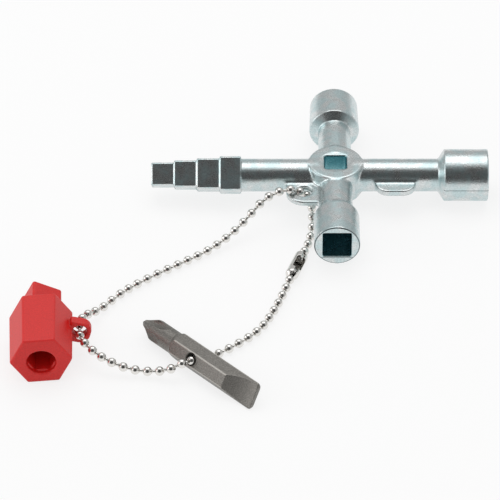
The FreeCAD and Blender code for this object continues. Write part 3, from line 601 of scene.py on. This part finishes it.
def castZinc():
    # Die-cast zinc, tumbled and blue-passivated: a satin metal with fine pits, whose grain breaks a
    # highlight into specks. The passivation gives pale cyan patches. The walls of holes get a teal
    # tint with painted shade, and painted shade darkens the front and back sockets towards their
    # floors.
    # The grain is 0.4 mm, a little coarser than real.
    material, tree = newMaterial("blue_passivated_cast_zinc")
    at = addNode(tree, "ShaderNodeTexCoord").outputs["Object"]
    grain = addNode(tree, "ShaderNodeTexNoise", {
        "Vector": at, "Scale": 1 / (0.4 * mm), "Detail": 3.0, "Roughness": 0.6}).outputs["Fac"]
    mottle = addNode(tree, "ShaderNodeTexNoise", {
        "Vector": at, "Scale": 1 / (3 * mm), "Detail": 2.0}).outputs["Fac"]
    # where the teal tint with painted shade goes on hole walls, and how deep the painted socket
    # shade is
    hole = addNode(tree, "ShaderNodeAttribute", attribute_name="recess").outputs["Fac"]
    depth = addNode(tree, "ShaderNodeAttribute", attribute_name="depth").outputs["Fac"]
    tone = addNode(tree, "ShaderNodeValToRGB", {"Fac": grain}, [
        (0.3, linear("#d0d3d3")), (0.5, linear("#e2e4e4")),
        (0.7, linear("#f0f2f2"))]).outputs["Color"]
    film = addNode(tree, "ShaderNodeValToRGB", {"Fac": mottle}, [
        (0.38, linear("#f2f5f5")), (0.62, linear("#deeff1"))]).outputs["Color"]
    tinted = addNode(tree, "ShaderNodeMix", {0: 1.0, 6: tone, 7: film}, **multiply).outputs[2]
    # painted shade: the teal darkens towards the socket floors and is multiplied in on the walls of
    # holes
    tealAndShade = addNode(tree, "ShaderNodeMix", {
        0: depth, 6: linear("#8ccfd8"), 7: linear("#4a6f79")}, **plainMix).outputs[2]
    shadedInHoles = addNode(tree, "ShaderNodeMix", {0: hole, 6: tinted, 7: tealAndShade}, **multiply).outputs[2]
    # three thin darker lines: painted shade along the parting ridge where the mould's halves meet
    # on the right barrel, a darker line along the front face's lower lip, 3.96 mm below the middle,
    # and a painted dark reflection round the front face's rim
    place = addNode(tree, "ShaderNodeSeparateXYZ", {"Vector": at}).outputs
    across = addNode(tree, "ShaderNodeCombineXYZ", {"X": place["X"], "Y": place["Z"]}).outputs[0]
    radius = addNode(tree, "ShaderNodeVectorMath", {0: across}, operation="LENGTH").outputs["Value"]
    darkLines = 0.0
    for value, middle, halfWidth, way, test, limit in (
            (place["Z"], 0.0, 0.11, "X", "GREATER_THAN", crossKey["partingStart"]),
            (place["Z"], -3.96, 0.11, "Y", "LESS_THAN", -29.95),
            (radius, 5.8, 0.14, "Y", "LESS_THAN", -29.9)):
        level = addNode(tree, "ShaderNodeMath", {
            0: value, 1: middle * mm, 2: halfWidth * mm}, operation="COMPARE").outputs[0]
        side = addNode(tree, "ShaderNodeMath", {
            0: place[way], 1: limit * mm}, operation=test).outputs[0]
        line = addNode(tree, "ShaderNodeMath", {0: level, 1: side}, operation="MULTIPLY").outputs[0]
        darkLines = addNode(tree, "ShaderNodeMath", {0: line, 1: darkLines}, operation="MAXIMUM").outputs[0]
    # the three lines darken the colour; two of them are painted shade and a painted dark reflection
    colour = addNode(tree, "ShaderNodeMix", {
        0: darkLines, 6: shadedInHoles, 7: linear("#8f9597")}, **multiply).outputs[2]
    rough = addNode(tree, "ShaderNodeValToRGB", {"Fac": mottle}, [
        (0.3, grey(0.24)), (0.7, grey(0.34))]).outputs["Color"]
    bump = addNode(tree, "ShaderNodeBump", {
        "Height": grain, "Strength": 0.6, "Distance": 0.05 * mm}).outputs["Normal"]
    shader = addNode(tree, "ShaderNodeBsdfPrincipled", {
        "Base Color": colour, "Roughness": rough, "Normal": bump, "Metallic": 1.0}).outputs["BSDF"]
    addNode(tree, "ShaderNodeOutputMaterial", {"Surface": shader})
    return material


def mouldedPlastic():
    # Injection-moulded red nylon with a fine spark-eroded texture: a broad, soft sheen and a
    # barely visible grain of 0.3 mm.
    material, tree = newMaterial("moulded_red_nylon")
    at = addNode(tree, "ShaderNodeTexCoord").outputs["Object"]
    grain = addNode(tree, "ShaderNodeTexNoise", {
        "Vector": at, "Scale": 1 / (0.3 * mm), "Detail": 2.0}).outputs["Fac"]
    tone = addNode(tree, "ShaderNodeValToRGB", {"Fac": grain}, [
        (0.35, linear("#c2140f")), (0.65, linear("#d21d19"))]).outputs["Color"]
    bump = addNode(tree, "ShaderNodeBump", {
        "Height": grain, "Strength": 0.3, "Distance": 0.04 * mm}).outputs["Normal"]
    shader = addNode(tree, "ShaderNodeBsdfPrincipled", {
        "Base Color": tone, "Normal": bump, "Roughness": 0.45, "IOR": 1.5,
        "Subsurface Weight": 0.25, "Subsurface Radius": (1.0, 0.25, 0.2),
        "Subsurface Scale": 1.2 * mm}).outputs["BSDF"]
    addNode(tree, "ShaderNodeOutputMaterial", {"Surface": shader})
    return material


def blastedSteel():
    # Hardened chrome-vanadium steel, sand-blasted and oiled: a dark, half matt metal with a dusty
    # grain of 0.25 mm, and a painted highlight along the hexagon's upper edges.
    material, tree = newMaterial("sand_blasted_steel")
    at = addNode(tree, "ShaderNodeTexCoord").outputs["Object"]
    grain = addNode(tree, "ShaderNodeTexNoise", {
        "Vector": at, "Scale": 1 / (0.25 * mm), "Detail": 3.0, "Roughness": 0.65}).outputs["Fac"]
    tone = addNode(tree, "ShaderNodeValToRGB", {"Fac": grain}, [
        (0.3, linear("#65635f")), (0.7, linear("#94918c"))]).outputs["Color"]
    # a painted highlight on the hexagon's upper edges, in a light colour
    wearAndHighlight = addNode(tree, "ShaderNodeAttribute", attribute_name="wearAndHighlight").outputs["Fac"]
    paintedHighlight = addNode(tree, "ShaderNodeMix", {
        0: wearAndHighlight, 6: tone, 7: linear("#bdbab4")}, **plainMix).outputs[2]
    bump = addNode(tree, "ShaderNodeBump", {
        "Height": grain, "Strength": 0.5, "Distance": 0.04 * mm}).outputs["Normal"]
    shader = addNode(tree, "ShaderNodeBsdfPrincipled", {
        "Base Color": paintedHighlight, "Normal": bump, "Metallic": 0.8, "Roughness": 0.45}).outputs["BSDF"]
    addNode(tree, "ShaderNodeOutputMaterial", {"Surface": shader})
    return material


def brightNickel():
    # Nickel plate over rolled steel: a warm mirror, slightly dulled where the chain rubs.
    material, tree = newMaterial("bright_nickel_plate")
    at = addNode(tree, "ShaderNodeTexCoord").outputs["Object"]
    wearAndHighlight = addNode(tree, "ShaderNodeTexNoise", {
        "Vector": at, "Scale": 1 / (1.2 * mm), "Detail": 3.0}).outputs["Fac"]
    rough = addNode(tree, "ShaderNodeValToRGB", {"Fac": wearAndHighlight}, [
        (0.35, grey(0.08)), (0.7, grey(0.2))]).outputs["Color"]
    shader = addNode(tree, "ShaderNodeBsdfPrincipled", {
        "Roughness": rough, "Metallic": 1.0, "Base Color": linear("#e6e4e0")}).outputs["BSDF"]
    addNode(tree, "ShaderNodeOutputMaterial", {"Surface": shader})
    return material


zinc, plastic, steel, nickel = castZinc(), mouldedPlastic(), blastedSteel(), brightNickel()
for piece, material in ((crossPiece, zinc), (adapterPiece, plastic), (bitPiece, steel),
                        (chainPiece, nickel), (claspPiece, nickel)):
    piece.data.materials.append(material)
for name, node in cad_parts.items():
    plain = {"cross_key": zinc, "bit_adapter": plastic, "screwdriver_bit": steel}.get(name, nickel)
    node.data.materials.clear()
    node.data.materials.append(plain)
print("materials made")

# floor, lamps and sky

studio = {
    "floorSize": 3.0, "floorGlow": 0.78,
    "lamps": [
        # a softbox above and a little behind, whose edge gives the white band along the arms
        {"name": "overhead", "place": (-0.02, 0.26, 0.76),
         "width": 0.8, "depth": 0.6, "power": 1.9},
        # a low one on the left, for the sides of the bit and the adapter
        {"name": "left", "place": (-0.85, -0.1, 0.26),
         "width": 0.6, "depth": 0.4, "power": 1.3},
    ],
    # the sky's level as light and as metal shows it, with a dark opening on the photographer's side
    "sky": 0.82, "mirroredSky": 0.53, "opening": 0.07,
    "openingWay": (0, -0.80, 0.60), "openingEdge": (0.72, 0.82),
}


def whiteFloor(share):
    # matt white paper: straight or by reflection, this share of it shows as plain white, so that
    # the shadow stays, and nothing more falls on the object
    material, tree = newMaterial("white_paper")
    path = addNode(tree, "ShaderNodeLightPath").outputs
    seen = path["Is Camera Ray"]
    for kind in ("Is Glossy Ray", "Is Transmission Ray"):
        seen = addNode(tree, "ShaderNodeMath", {
            0: seen, 1: path[kind]}, operation="MAXIMUM").outputs[0]
    glowing = addNode(tree, "ShaderNodeMath", {0: seen, 1: share}, operation="MULTIPLY").outputs[0]
    paper = addNode(tree, "ShaderNodeBsdfDiffuse", {"Color": linear("#e9e9e9")}).outputs[0]
    glow = addNode(tree, "ShaderNodeEmission", {"Color": grey(1.0)}).outputs[0]
    both = addNode(tree, "ShaderNodeMixShader", {0: glowing, 1: paper, 2: glow}).outputs[0]
    addNode(tree, "ShaderNodeOutputMaterial", {"Surface": both})
    return material


def makeStudio(s):
    half, height = s["floorSize"] / 2, ground * mm
    mesh = bpy.data.meshes.new("floor")
    corners = ((-half, -half), (half, -half), (half, half), (-half, half))
    mesh.from_pydata([(x, y, height) for x, y in corners], [], [(0, 1, 2, 3)])
    floor = bpy.data.objects.new("floor", mesh)
    bpy.context.scene.collection.objects.link(floor)
    floor.data.materials.append(whiteFloor(s["floorGlow"]))
    for lamp in s["lamps"]:
        light = bpy.data.lights.new(lamp["name"], "AREA")
        light.shape, light.energy = "RECTANGLE", lamp["power"]
        light.size, light.size_y = lamp["width"], lamp["depth"]
        item = bpy.data.objects.new(lamp["name"], light)
        item.location = lamp["place"]
        item.rotation_mode = "QUATERNION"
        item.rotation_quaternion = (-Vector(lamp["place"])).to_track_quat("-Z", "Y")
        bpy.context.scene.collection.objects.link(item)
    world = bpy.data.worlds.new("sky")
    world.use_nodes = True
    tree = world.node_tree
    tree.nodes.clear()
    way = addNode(tree, "ShaderNodeTexCoord").outputs["Generated"]
    path = addNode(tree, "ShaderNodeLightPath").outputs
    toOpening = addNode(tree, "ShaderNodeVectorMath", {
        0: way, 1: s["openingWay"]}, operation="DOT_PRODUCT").outputs["Value"]
    outer, inner = s["openingEdge"]
    mirrored = addNode(tree, "ShaderNodeValToRGB", {"Fac": toOpening}, [
        (outer, grey(s["mirroredSky"])), (inner, grey(s["opening"]))]).outputs["Color"]
    level = addNode(tree, "ShaderNodeMix", {
        0: path["Is Glossy Ray"], 6: grey(s["sky"]), 7: mirrored}, **plainMix).outputs[2]
    shown = addNode(tree, "ShaderNodeMix", {
        0: path["Is Camera Ray"], 6: level, 7: grey(1.0)}, **plainMix).outputs[2]
    sky = addNode(tree, "ShaderNodeBackground", {"Color": shown}).outputs[0]
    addNode(tree, "ShaderNodeOutputWorld", {"Surface": sky})
    bpy.context.scene.world = world


makeStudio(studio)
bpy.context.scene.view_settings.view_transform = "Standard"
